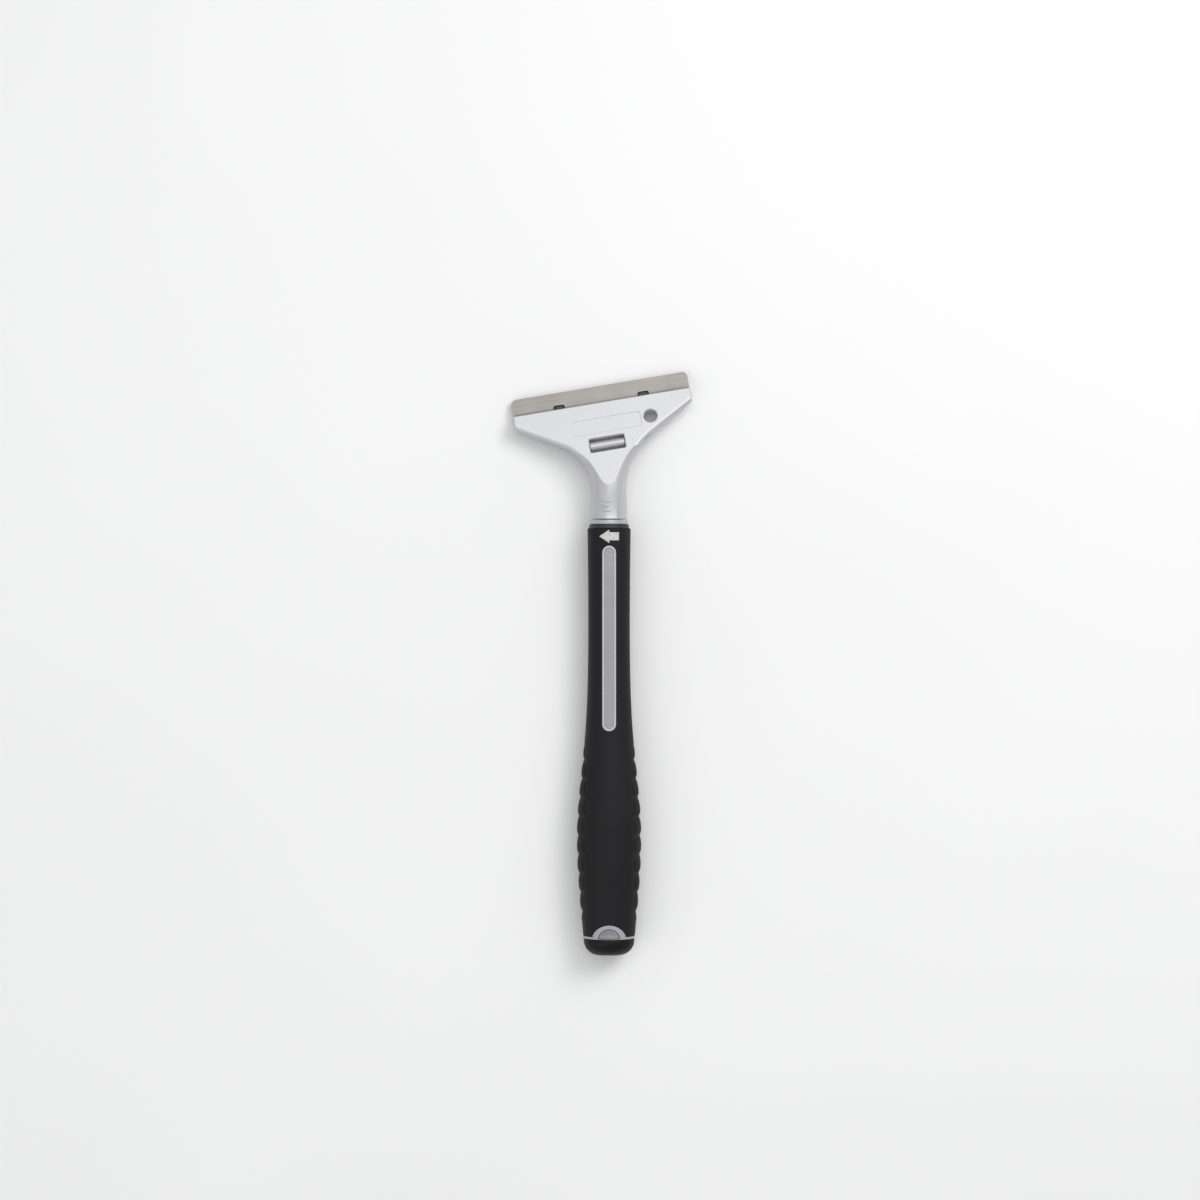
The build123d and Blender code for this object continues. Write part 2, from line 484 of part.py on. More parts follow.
def pad_prism(gap, z0, z1):
    """The half-disc of the latch, drawn in by a gap."""
    size = 3 * PAD_RADIUS
    disc = Pos(0, PAD_Y) * Circle(PAD_RADIUS - gap)
    disc &= Pos(0, PAD_BOTTOM + gap + size / 2) * Rectangle(size, size)
    return Pos(0, 0, z0) * extrude(disc, z1 - z0)


def end_plug():
    """The flange and arch that show, the boss in the core, and the spigot that carries the boot."""
    body = handle_form(0, FLANGE_BOTTOM, FLANGE_TOP)
    body += across(FLANGE_TOP) * extrude(Ellipse(BOSS_HALF, BOSS_DEPTH), BOSS_TOP - FLANGE_TOP)
    arch_top = block(-BIG, BIG, 0, ARCH_TOP + 1, ARCH_FLOOR, BIG)
    body += handle_form(0, FLANGE_TOP, ARCH_TOP + 1) & arch_prism(0) & arch_top
    body += plug_spigot()
    body -= pad_prism(0, PAD_FLOOR, BIG)
    half = ARM_HALF + ARM_ROOM
    body -= block(-half, half, PAD_BOTTOM + 2, BOSS_TOP, ARM_SLOT_FLOOR, BOSS_DEPTH)
    body -= carrier_bar(BOSS_TOP)
    for pin in carrier_pins().solids():
        body -= pin
    return single(body)


def plug_spigot():
    oval = Ellipse(BOSS_HALF, PLUG_SPIGOT_DEPTH)
    return across(PLUG_SPIGOT_BOTTOM) * extrude(oval, FLANGE_BOTTOM - PLUG_SPIGOT_BOTTOM)


def end_cap_boot():
    dome = across(0) * extrude(Ellipse(BOOT_HALF, BOOT_DEPTH), FLANGE_BOTTOM)
    dome = fillet(dome.edges().sort_by(Axis.Y)[0], BOOT_ROUND)
    return single(dome - plug_spigot())


def latch_tongue():
    """The half-disc that the thumb presses, with an arm up to the nose that meets the catch."""
    pad = pad_prism(PAD_GAP, PAD_UNDERSIDE, BIG) & handle_form(0.05, 0, 50)
    arm = block(-ARM_HALF, ARM_HALF, PAD_BOTTOM + 3, ARM_END, ARM_LOW, ARM_HIGH)
    nose = block(-ARM_HALF, ARM_HALF, NOSE_START, ARM_END, ARM_HIGH, NOSE_HIGH)
    return single(pad + arm + nose)


def latch_spring():
    wire = LATCH_SPRING_WIRE
    coil = Helix(pitch=LATCH_SPRING_PITCH, height=LATCH_SPRING_LONG - 2 * wire, radius=LATCH_SPRING_RADIUS)
    section = Plane(origin=coil @ 0, z_dir=coil % 0) * Circle(wire)
    spring = sweep(section, path=coil, is_frenet=True)
    return single(Pos(0, LATCH_SPRING_Y, LATCH_SPRING_FOOT + wire) * spring)


def carrier_bar(top):
    low = CARRIER_FACE - CARRIER_THICK
    return block(-CARRIER_HALF, CARRIER_HALF, CARRIER_BOTTOM, top, low, CARRIER_FACE)


def blade_carrier():
    body = carrier_bar(CARRIER_TOP)
    middle = CARRIER_TOP - CARRIER_END_GAP - BLADE_LENGTH / 2
    rise = SPARE_BLADES * (BLADE_THICK + SPARE_GAP) + CARRIER_PEG_ROOM
    for side in (-1, 1):
        peg = Rot(0, 0, 90) * extrude(SlotOverall(PEG_LENGTH, PEG_WIDTH), rise)
        body += Pos(0, middle + side * SLOT_PITCH / 2, CARRIER_FACE) * peg
    for pin in carrier_pins().solids():
        body -= pin
    return single(body)


def carrier_pins():
    pins = []
    for x in (-CARRIER_PIN_X, CARRIER_PIN_X):
        pin = Pos(x, CARRIER_PIN_Y, CARRIER_PIN_Z) * Cylinder(CARRIER_PIN_RADIUS, CARRIER_PIN_LENGTH)
        pins.append(pin.solid())
    return Compound(children=pins)


def build():
    pieces = {
        "head_casting": head_casting(), "pivot_pin": pivot_pin(), "rear_jaw": rear_jaw(),
        "jaw_spring": jaw_spring(), "blade": blade(), "clamp_bush": clamp_bush(),
        "collar_ring": collar_ring(), "thrust_washer": thrust_washer(), "clamp_screw": clamp_screw(),
        "screw_cross_pin": single(cross_pin_bar()), "handle_core": handle_core(),
        "grip_sleeve": grip_sleeve(), "left_rib_pad": rib_pad(-1), "right_rib_pad": rib_pad(1),
        "strip_inlay": strip_inlay(), "direction_arrow": direction_arrow(), "end_plug": end_plug(),
        "latch_tongue": latch_tongue(), "latch_spring": latch_spring(), "end_cap_boot": end_cap_boot(),
        "blade_carrier": blade_carrier(), "carrier_pins": carrier_pins(), "spare_blades": spare_blades()}
    box = Compound(children=[s for p in pieces.values() for s in p.solids()]).bounding_box()
    to_origin = Vector(-box.center().X, -box.center().Y, -box.min.Z)
    return pieces, to_origin


def write():
    pieces, to_origin = build()
    for name, piece in pieces.items():
        export_step(Pos(to_origin) * piece, f"parts/{name}.step")
    return pieces, to_origin


PIECES, TO_ORIGIN = write()
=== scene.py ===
import bmesh
import bpy
import json
from math import asin, cos, exp, hypot, pi, radians, sin, sqrt
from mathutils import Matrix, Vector


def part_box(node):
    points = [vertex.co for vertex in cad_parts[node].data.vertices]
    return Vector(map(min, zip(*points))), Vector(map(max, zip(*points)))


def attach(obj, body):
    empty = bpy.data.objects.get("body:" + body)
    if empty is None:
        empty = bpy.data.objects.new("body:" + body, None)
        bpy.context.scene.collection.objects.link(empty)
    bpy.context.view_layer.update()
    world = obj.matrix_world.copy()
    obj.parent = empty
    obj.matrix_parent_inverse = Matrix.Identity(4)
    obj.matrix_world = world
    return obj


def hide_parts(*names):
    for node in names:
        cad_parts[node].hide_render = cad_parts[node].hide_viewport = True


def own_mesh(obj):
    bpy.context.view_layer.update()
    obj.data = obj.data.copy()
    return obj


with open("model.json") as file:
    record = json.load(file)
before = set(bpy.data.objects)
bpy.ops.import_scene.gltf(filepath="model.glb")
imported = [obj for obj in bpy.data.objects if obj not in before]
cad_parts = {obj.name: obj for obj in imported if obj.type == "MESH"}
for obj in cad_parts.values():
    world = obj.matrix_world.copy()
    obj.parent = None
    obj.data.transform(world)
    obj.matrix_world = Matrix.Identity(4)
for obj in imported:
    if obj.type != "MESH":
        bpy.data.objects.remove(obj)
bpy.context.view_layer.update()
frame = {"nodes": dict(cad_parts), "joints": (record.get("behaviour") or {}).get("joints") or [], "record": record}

MM = 0.001

# ---------------------------------------------------------------------------------------------
# Floor, light and camera. The tool lies on its back on a plain pale sheet, under soft studio
# light, and is seen from straight above through a long lens.
VIEW_WIDTH = 678.8 * MM           # what the frame spans at the height of the handle's axis
LENS, SENSOR = 100.0, 36.0
LOOK_AT = Vector((-0.8, 35.5, 15.0)) * MM
SHEET_HALF, SHEET_GAP, PAPER_CLOUD = 3.0, 0.1 * MM, 333 * MM


def linear(code):
    """An sRGB hex colour as the linear colour that Blender's sockets take."""
    parts = [int(code[i:i + 2], 16) / 255 for i in (1, 3, 5)]
    return [p / 12.92 if p <= 0.04045 else ((p + 0.055) / 1.055) ** 2.4 for p in parts] + [1.0]


def add(tree, kind, inputs=None, **settings):
    """One shader node, with its settings, and a value or a link for each input named."""
    node = tree.nodes.new("ShaderNode" + kind)
    for name, value in settings.items():
        setattr(node, name, value)
    for key, value in (inputs or {}).items():
        if isinstance(value, bpy.types.NodeSocket):
            tree.links.new(value, node.inputs[key])
        else:
            node.inputs[key].default_value = value
    return node


def start_finish(name, **plain):
    """A new material, its node tree and its shader, with the plain values set on the shader."""
    material = bpy.data.materials.new(name)
    material.use_nodes = True
    shader = material.node_tree.nodes["Principled BSDF"]
    for key, value in plain.items():
        shader.inputs[key.replace("_", " ")].default_value = value
    return material, material.node_tree, shader


def matt_paper():
    """Matt white paper: nearly even, with a faint cloudiness."""
    material, tree, shader = start_finish("matt_white_paper", Roughness=0.8)
    place = add(tree, "TexCoord").outputs["Object"]
    cloud = add(tree, "TexNoise", {"Vector": place, "Scale": 1 / PAPER_CLOUD, "Detail": 2.0}).outputs["Fac"]
    tones = {0: cloud, 6: linear("#F3F3F2"), 7: linear("#FAFAF9")}
    tree.links.new(add(tree, "Mix", tones, data_type="RGBA").outputs[2], shader.inputs["Base Color"])
    return material


floor_mesh = bpy.data.meshes.new("floor")
corners = [(SHEET_HALF * x, SHEET_HALF * y, 0) for x, y in ((-1, -1), (1, -1), (1, 1), (-1, 1))]
floor_mesh.from_pydata(corners, [], [(0, 1, 2, 3)])
floor_mesh.materials.append(matt_paper())
floor = bpy.data.objects.new("floor", floor_mesh)
floor.location.z = -SHEET_GAP
bpy.context.scene.collection.objects.link(floor)


def soft_light(name, place, size, power):
    """A square soft box that points at the middle of the tool."""
    lamp = bpy.data.lights.new(name, "AREA")
    lamp.size = size
    lamp.energy = power
    holder = bpy.data.objects.new(name, lamp)
    holder.location = place
    holder.rotation_euler = (LOOK_AT - Vector(place)).to_track_quat("-Z", "Y").to_euler()
    bpy.context.scene.collection.objects.link(holder)


soft_light("key_light", (0.75, 0.80, 1.20), 0.7, 10)
soft_light("fill_light", (-0.9, -0.6, 1.2), 1.2, 4)
soft_light("top_light", (0.1, 0.8, 2.6), 1.5, 14)

world = bpy.data.worlds.new("studio")
world.use_nodes = True
world.node_tree.nodes["Background"].inputs["Color"].default_value = linear("#F4F5F7")
world.node_tree.nodes["Background"].inputs["Strength"].default_value = 0.5
bpy.context.scene.world = world

lens = bpy.data.cameras.new("camera")
lens.lens = LENS
lens.sensor_width = SENSOR
camera = bpy.data.objects.new("camera", lens)
camera.location = LOOK_AT + Vector((0, 0, VIEW_WIDTH * LENS / SENSOR))
bpy.context.scene.collection.objects.link(camera)
bpy.context.scene.camera = camera
bpy.context.scene.view_settings.view_transform = "Standard"

# ---------------------------------------------------------------------------------------------
# Head casting and rear jaw: zinc alloy die castings, tumbled, then sprayed with a satin silver
# lacquer. The lacquer softens every edge, keeps the casting's faint skin and rubs bright on edges.
LACQUER_CLOUD, ORANGE_PEEL, FLAKE = 18.18 * MM, 0.909 * MM, 0.3125 * MM
EDGE_WEAR, EDGE_SOFT, CORNER_SHADE_REACH = 0.3 * MM, 0.35 * MM, 1.6 * MM
PEG_SHADE, PEG_SHADE_FADE = 3.4 * MM, 3.8 * MM       # painted shade round a peg reaches this far from its middle, then fades out


def worn_edges(tree, radius):
    """1 on a sharp edge, falling to 0 a radius away from it."""
    eased = add(tree, "Bevel", {"Radius": radius}, samples=6).outputs["Normal"]
    true = add(tree, "NewGeometry").outputs["Normal"]
    along = add(tree, "VectorMath", {0: eased, 1: true}, operation="DOT_PRODUCT").outputs["Value"]
    spread = {"Value": along, "From Min": 0.80, "From Max": 0.995, "To Min": 1.0, "To Max": 0.0}
    return add(tree, "MapRange", spread).outputs["Result"]


def painted_corner_shade(tree, reach, most, closed=0.25):
    """Rises to the given share in inner corners and narrow gaps: a mask for painted shade."""
    open_sky = add(tree, "AmbientOcclusion", {"Distance": reach}, samples=8).outputs["AO"]
    spread = {"Value": open_sky, "From Min": closed, "From Max": 0.85, "To Min": most, "To Max": 0.0}
    return add(tree, "MapRange", spread).outputs["Result"]


def satin_lacquer(name, light, dark, rough, flats=None, shaded_spots=()):
    """Satin silver lacquer on cast zinc: metal flake, and orange peel 0.9 mm across. The flake is far
    finer than it is drawn here, at 0.3 mm. Faces square to the flats' direction are drawn brighter.
    Round each given spot the colour goes near-black, painted shade, and corners and gaps get painted shade."""
    material, tree, shader = start_finish(name, Metallic=0.30, Coat_Weight=0.10, Coat_Roughness=0.35)
    place = add(tree, "TexCoord").outputs["Object"]
    cloud = add(tree, "TexNoise", {"Vector": place, "Scale": 1 / LACQUER_CLOUD, "Detail": 3.0}).outputs["Fac"]
    flake = add(tree, "TexVoronoi", {"Vector": place, "Scale": 1 / FLAKE}).outputs["Color"]
    flake_grey = add(tree, "RGBToBW", {"Color": flake}).outputs["Val"]
    tone = add(tree, "Mix", {0: 0.35, 2: cloud, 3: flake_grey}).outputs[0]
    body = add(tree, "Mix", {0: tone, 6: linear(dark), 7: linear(light)}, data_type="RGBA").outputs[2]
    # Faces square to the flats' direction are drawn brighter.
    if flats is not None:
        facing = {0: add(tree, "TexCoord").outputs["Normal"], 1: flats}
        square = add(tree, "VectorMath", facing, operation="DOT_PRODUCT").outputs["Value"]
        spread = {"Value": square, "From Min": 0.975, "From Max": 0.995, "To Min": 0.0, "To Max": 0.85}
        brighter_flats = {0: add(tree, "MapRange", spread).outputs["Result"], 6: body, 7: linear("#DCDCDF")}
        body = add(tree, "Mix", brighter_flats, data_type="RGBA").outputs[2]
    rubbed = add(tree, "Math", {0: worn_edges(tree, EDGE_WEAR), 1: 0.5}, operation="MULTIPLY").outputs[0]
    worn = add(tree, "Mix", {0: rubbed, 6: body, 7: linear("#EDEDEF")}, data_type="RGBA").outputs[2]
    # Painted shade: near-black round each given spot, for the shade in the blade's slots.
    for spot in shaded_spots:
        away = add(tree, "VectorMath", {0: place, 1: spot}, operation="DISTANCE").outputs["Value"]
        spread = {"Value": away, "From Min": PEG_SHADE, "From Max": PEG_SHADE_FADE, "To Min": 1.0, "To Max": 0.0}
        peg_shade_mix = {0: add(tree, "MapRange", spread).outputs["Result"], 6: worn, 7: linear("#444447")}
        worn = add(tree, "Mix", peg_shade_mix, data_type="RGBA").outputs[2]
    # Painted shade: inner corners and narrow gaps darken towards near-black.
    corner_shaded = {0: painted_corner_shade(tree, CORNER_SHADE_REACH, 0.85), 6: worn, 7: linear("#3E3E42")}
    tree.links.new(add(tree, "Mix", corner_shaded, data_type="RGBA").outputs[2], shader.inputs["Base Color"])
    sheen = {"Value": cloud, "To Min": rough - 0.05, "To Max": rough + 0.07}
    tree.links.new(add(tree, "MapRange", sheen).outputs["Result"], shader.inputs["Roughness"])
    peel = add(tree, "TexNoise", {"Vector": place, "Scale": 1 / ORANGE_PEEL, "Detail": 2.0}).outputs["Fac"]
    eased = add(tree, "Bevel", {"Radius": EDGE_SOFT}, samples=6).outputs["Normal"]
    bumps = {"Height": peel, "Distance": 0.02 * MM, "Strength": 0.5, "Normal": eased}
    tree.links.new(add(tree, "Bump", bumps).outputs["Normal"], shader.inputs["Normal"])
    return material


def dress(node, material):
    """Gives a CAD node its finish."""
    frame["nodes"][node].material_slots[0].material = material


# Round the jaw's two pegs, which stand in the blade's slots, the colour is painted near-black: painted shade for
# the slots.
SLOT_HALF_PITCH, PEG_DOWN, PEG_BACK = 24.25, 2.2, 4.3
hinge = [joint for joint in frame["joints"] if joint["name"] == "jaw_open"][0]
head_u = -Vector(hinge["axis"])
head_w = Vector([m for m in frame["record"]["mounts"] if m["name"] == "hang_hole"][0]["axis"])
head_v = head_w.cross(head_u)
HINGE_U, HINGE_V, HINGE_W = -0.6, -24.9, -2.2
head_origin = Vector(hinge["pos_m"]) - (head_u * HINGE_U + head_v * HINGE_V + head_w * HINGE_W) * MM
pegs = [head_origin + (head_u * side * SLOT_HALF_PITCH + head_v * PEG_DOWN - head_w * PEG_BACK) * MM
        for side in (-1, 1)]
head_lacquer = satin_lacquer("satin_silver_lacquer", "#CACACE", "#BABABF", 0.38, head_w)
dress("head_casting", head_lacquer)
dress("rear_jaw", satin_lacquer("satin_silver_jaw", "#CACACE", "#BABABF", 0.38, head_w, pegs))

# ---------------------------------------------------------------------------------------------
# Pivot pin, clamp screw, cross pin, carrier pins: turned steel bar, bright and lightly oiled. Fine
# turning lines run round each piece; they are about 0.1 mm apart and drawn 0.4 mm apart to show.
TURNING_LINES = 0.4 * MM
WAVE_UNIT = 0.314                 # the wave pattern's spacing in metres at a scale of 1


def turned_steel():
    """Bright turned steel bar with turning lines."""
    material, tree, shader = start_finish("turned_steel", Metallic=1.0)
    place = add(tree, "TexCoord").outputs["Object"]
    wave = {"Vector": place, "Scale": WAVE_UNIT / TURNING_LINES, "Distortion": 0.6, "Detail": 2.0}
    lines = add(tree, "TexWave", wave, bands_direction="Y").outputs["Fac"]
    tones = {0: lines, 6: linear("#A7A8AC"), 7: linear("#B9BABD")}
    tree.links.new(add(tree, "Mix", tones, data_type="RGBA").outputs[2], shader.inputs["Base Color"])
    sheen = {"Value": lines, "To Min": 0.24, "To Max": 0.38}
    tree.links.new(add(tree, "MapRange", sheen).outputs["Result"], shader.inputs["Roughness"])
    eased = add(tree, "Bevel", {"Radius": 0.15 * MM}, samples=6).outputs["Normal"]
    bumps = {"Height": lines, "Distance": 0.01 * MM, "Strength": 0.4, "Normal": eased}
    tree.links.new(add(tree, "Bump", bumps).outputs["Normal"], shader.inputs["Normal"])
    return material


steel = turned_steel()
for node in ("pivot_pin", "clamp_screw", "screw_cross_pin", "carrier_pins"):
    dress(node, steel)

# ---------------------------------------------------------------------------------------------
# Threaded bush: turned brass, pressed into the neck, where it carries the clamp screw's thread.
# Oil and handling have dulled it in patches.
DULL_PATCH = 4.545 * MM


def turned_brass():
    """Turned brass, slightly dulled by handling."""
    material, tree, shader = start_finish("turned_brass", Metallic=1.0)
    place = add(tree, "TexCoord").outputs["Object"]
    dull = add(tree, "TexNoise", {"Vector": place, "Scale": 1 / DULL_PATCH, "Detail": 4.0}).outputs["Fac"]
    tones = {0: dull, 6: linear("#B5924E"), 7: linear("#CBA860")}
    tree.links.new(add(tree, "Mix", tones, data_type="RGBA").outputs[2], shader.inputs["Base Color"])
    sheen = {"Value": dull, "To Min": 0.25, "To Max": 0.42}
    tree.links.new(add(tree, "MapRange", sheen).outputs["Result"], shader.inputs["Roughness"])
    eased = add(tree, "Bevel", {"Radius": 0.15 * MM}, samples=6).outputs["Normal"]
    tree.links.new(eased, shader.inputs["Normal"])
    return material


dress("clamp_bush", turned_brass())

# ---------------------------------------------------------------------------------------------
# Jaw spring: a coil of drawn and oil-tempered steel wire, dark and smooth, between plate and jaw.
# It opens the jaws as the clamp backs off.
DRAWING_MARKS = 1.111 * MM


def tempered_wire():
    """Oil-tempered wire: dark grey steel with faint drawing marks."""
    material, tree, shader = start_finish("oil_tempered_wire", Metallic=1.0)
    place = add(tree, "TexCoord").outputs["Object"]
    marks = add(tree, "TexNoise", {"Vector": place, "Scale": 1 / DRAWING_MARKS, "Detail": 3.0}).outputs["Fac"]
    tones = {0: marks, 6: linear("#5B5C60"), 7: linear("#77787C")}
    tree.links.new(add(tree, "Mix", tones, data_type="RGBA").outputs[2], shader.inputs["Base Color"])
    sheen = {"Value": marks, "To Min": 0.30, "To Max": 0.45}
    tree.links.new(add(tree, "MapRange", sheen).outputs["Result"], shader.inputs["Roughness"])
    return material


wire = tempered_wire()
dress("jaw_spring", wire)

# ---------------------------------------------------------------------------------------------
# Blades: carbon steel strip, hardened, surface-ground along its length and lightly oiled, which
# leaves a warm grey with fine lengthwise lines. The lines are 0.05 mm apart and drawn 0.35 mm apart.
GRIND_LINES, GRIND_LENGTH, OIL_PATCH = 0.35 * MM, 30 * MM, 14.29 * MM
BLADE_WEAR, SEAM_SHADE_REACH = 0.35 * MM, 4.0 * MM  # painted shade darkens the blade this far from the plate's edge


def ground_steel(name, along, light, dark):
    """Ground strip steel with lines that run at an angle to X, oil tint, brighter worn edges and painted shade
    near other parts.
    """
    material, tree, shader = start_finish(name, Metallic=0.55)
    place = add(tree, "TexCoord").outputs["Object"]
    turned = add(tree, "VectorRotate", {"Vector": place, "Angle": -along}, rotation_type="Z_AXIS").outputs[0]
    scale = (1 / GRIND_LENGTH, 1 / GRIND_LINES, 1 / GRIND_LINES)
    stretched = add(tree, "Mapping", {"Vector": turned, "Scale": scale}).outputs[0]
    lines = add(tree, "TexNoise", {"Vector": stretched, "Scale": 1.0, "Detail": 4.0}).outputs["Fac"]
    oil = add(tree, "TexNoise", {"Vector": place, "Scale": 1 / OIL_PATCH, "Detail": 3.0}).outputs["Fac"]
    tone = add(tree, "Mix", {0: 0.45, 2: lines, 3: oil}).outputs[0]
    spread = add(tree, "MapRange", {"Value": tone, "From Min": 0.35, "From Max": 0.65}).outputs["Result"]
    body = add(tree, "Mix", {0: spread, 6: linear(dark), 7: linear(light)}, data_type="RGBA").outputs[2]
    bright = {0: worn_edges(tree, BLADE_WEAR), 6: body, 7: linear("#E4E3E1")}
    worn = add(tree, "Mix", bright, data_type="RGBA").outputs[2]
    # Painted shade: the blade darkens near the plate's edge and in other close corners.
    seam_shaded = {0: painted_corner_shade(tree, SEAM_SHADE_REACH, 0.95, 0.62), 6: worn, 7: linear("#2E2C2A")}
    tree.links.new(add(tree, "Mix", seam_shaded, data_type="RGBA").outputs[2], shader.inputs["Base Color"])
    sheen = {"Value": tone, "To Min": 0.30, "To Max": 0.52}
    tree.links.new(add(tree, "MapRange", sheen).outputs["Result"], shader.inputs["Roughness"])
    eased = add(tree, "Bevel", {"Radius": 0.12 * MM}, samples=6).outputs["Normal"]
    bumps = {"Height": lines, "Distance": 0.01 * MM, "Strength": 0.5, "Normal": eased}
    tree.links.new(add(tree, "Bump", bumps).outputs["Normal"], shader.inputs["Normal"])
    return material


skew = head_u.to_2d().angle_signed(Vector((1, 0)))
dress("blade", ground_steel("ground_blade_steel", skew, "#B1ADA8", "#9E9993"))
dress("spare_blades", ground_steel("ground_spare_steel", pi / 2, "#B1ADA8", "#9E9993"))

# ---------------------------------------------------------------------------------------------
# Collar ring: a turned zinc ring in the same lacquer, a shade darker where it is handled. The washer
# under it is moulded black nylon, smooth and slightly waxy.
NYLON_SKIN = 0.6667 * MM


def black_nylon():
    """Moulded nylon: waxy dark plastic with a very fine skin."""
    material, tree, shader = start_finish("moulded_black_nylon", IOR=1.53)
    place = add(tree, "TexCoord").outputs["Object"]
    skin = add(tree, "TexNoise", {"Vector": place, "Scale": 1 / NYLON_SKIN, "Detail": 3.0}).outputs["Fac"]
    tones = {0: skin, 6: linear("#222225"), 7: linear("#2B2B2E")}
    tree.links.new(add(tree, "Mix", tones, data_type="RGBA").outputs[2], shader.inputs["Base Color"])
    sheen = {"Value": skin, "To Min": 0.38, "To Max": 0.52}
    tree.links.new(add(tree, "MapRange", sheen).outputs["Result"], shader.inputs["Roughness"])
    eased = add(tree, "Bevel", {"Radius": 0.3 * MM}, samples=6).outputs["Normal"]
    bumps = {"Height": skin, "Distance": 0.02 * MM, "Strength": 0.4, "Normal": eased}
    tree.links.new(add(tree, "Bump", bumps).outputs["Normal"], shader.inputs["Normal"])
    return material


dress("collar_ring", satin_lacquer("satin_silver_ring", "#C0C0C5", "#B0B0B6", 0.33))
dress("thrust_washer", black_nylon())

# ---------------------------------------------------------------------------------------------
# Handle core and blade carrier: moulded grey ABS with a spark-eroded skin. Its grain is about 0.1 mm and
# is drawn at 0.4 mm to show. The core is under the skin, and the carrier shows with the drawer out.
ABS_GRAIN, ABS_CLOUD = 0.3846 * MM, 12.5 * MM
ABS_WEAR, ABS_CORNER_SHADE, ABS_SOFT = 0.3 * MM, 0.8 * MM, 0.25 * MM


def moulded_abs(name, light, dark, rough):
    """Moulded ABS: even colour, soft gloss and a fine eroded grain."""
    material, tree, shader = start_finish(name, IOR=1.52)
    place = add(tree, "TexCoord").outputs["Object"]
    grain = add(tree, "TexNoise", {"Vector": place, "Scale": 1 / ABS_GRAIN, "Detail": 3.0}).outputs["Fac"]
    cloud = add(tree, "TexNoise", {"Vector": place, "Scale": 1 / ABS_CLOUD, "Detail": 3.0}).outputs["Fac"]
    tone = add(tree, "Mix", {0: 0.5, 2: grain, 3: cloud}).outputs[0]
    spread = add(tree, "MapRange", {"Value": tone, "From Min": 0.35, "From Max": 0.65}).outputs["Result"]
    body = add(tree, "Mix", {0: spread, 6: linear(dark), 7: linear(light)}, data_type="RGBA").outputs[2]
    rubbed = add(tree, "Math", {0: worn_edges(tree, ABS_WEAR), 1: 0.35}, operation="MULTIPLY").outputs[0]
    worn = add(tree, "Mix", {0: rubbed, 6: body, 7: linear("#D0D0D3")}, data_type="RGBA").outputs[2]
    # Painted shade: inner corners and narrow gaps darken towards near-black.
    corner_shaded = {0: painted_corner_shade(tree, ABS_CORNER_SHADE, 0.9), 6: worn, 7: linear("#2A2A2D")}
    tree.links.new(add(tree, "Mix", corner_shaded, data_type="RGBA").outputs[2], shader.inputs["Base Color"])
    sheen = {"Value": grain, "To Min": rough - 0.06, "To Max": rough + 0.08}
    tree.links.new(add(tree, "MapRange", sheen).outputs["Result"], shader.inputs["Roughness"])
    eased = add(tree, "Bevel", {"Radius": ABS_SOFT}, samples=6).outputs["Normal"]
    bumps = {"Height": grain, "Distance": 0.03 * MM, "Strength": 0.35, "Normal": eased}
    tree.links.new(add(tree, "Bump", bumps).outputs["Normal"], shader.inputs["Normal"])
    return material


grey_abs = moulded_abs("grey_abs", "#8C8D91", "#828388", 0.46)
dress("handle_core", grey_abs)
dress("blade_carrier", grey_abs)

# ---------------------------------------------------------------------------------------------
# Grip skin: black thermoplastic rubber moulded over the core, 1.8 mm thick, with rolled lips round
# the strip, the side bands and both ends. Its eroded mould gives it an even, very matt grain.
SKIN_FROM, SKIN_TO, SKIN_THICK = 11.2, 241.3, 1.8
SLIM_WIDTH, SLIM_DEPTH = 11.7, 10.4
SWELL_WIDTH, SWELL_DEPTH, SWELL_Y, SWELL_BELOW, SWELL_ABOVE = 6.4, 4.6, 66.0, 62.0, 53.0
FLARE_FROM, FLARE_LENGTH, FLARE = 180.0, 60.0, 0.5
STRIP_FROM, STRIP_TO, STRIP_RADIUS = 126.9, 231.4, 3.95
BAND_Y, BAND_LONG, BAND_HIGH = 69.0, 50.0, 9.4
POCKET = 0.7                      # depth of the pockets that the strip and the side bands sit in
ARCH_HALF, ARCH_TOP, ARCH_RISE = 9.4, 18.0, 5.83
LIP_ROLL, END_ROLL = 0.45, 0.5    # radii of the rolled lips round the pockets and at both ends
AROUND, ALONG, BACK_ROWS = 300, 420, 24
END_STEPS = [0, 0.08, 0.18, 0.3, 0.45, 0.65, 0.9]     # rows close together over each rolled end
HAND_PATCH, SKIN_GRAIN = 22.22 * MM, 0.45 * MM
WELD = 0.002 * MM
skin_low, skin_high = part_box("grip_sleeve")
AXIS = Vector(((skin_low.x + skin_high.x) / 2, skin_low.y - SKIN_FROM * MM, (skin_low.z + skin_high.z) / 2))


def half_sizes(y):
    """Half-width and half-depth of the handle at a distance from its end, in millimetres."""
    spread = SWELL_BELOW if y < SWELL_Y else SWELL_ABOVE
    swell = exp(-((y - SWELL_Y) / spread) ** 2)
    flare = FLARE * (max(0.0, y - FLARE_FROM) / FLARE_LENGTH) ** 2
    return SLIM_WIDTH + SWELL_WIDTH * swell + flare, SLIM_DEPTH + SWELL_DEPTH * swell + flare


def round_handle(angle, y, inset):
    """A point on the handle's form at an angle from its right side, sunk by inset."""
    a, b = half_sizes(y)
    return (a - inset) * cos(angle), y, (b - inset) * sin(angle)


def front_of_handle(x, y, inset):
    """A point on the front of the handle's form, sunk by inset."""
    a, b = half_sizes(y)
    return x, y, (b - inset) * sqrt(max(0.0, 1 - (x / (a - inset)) ** 2))


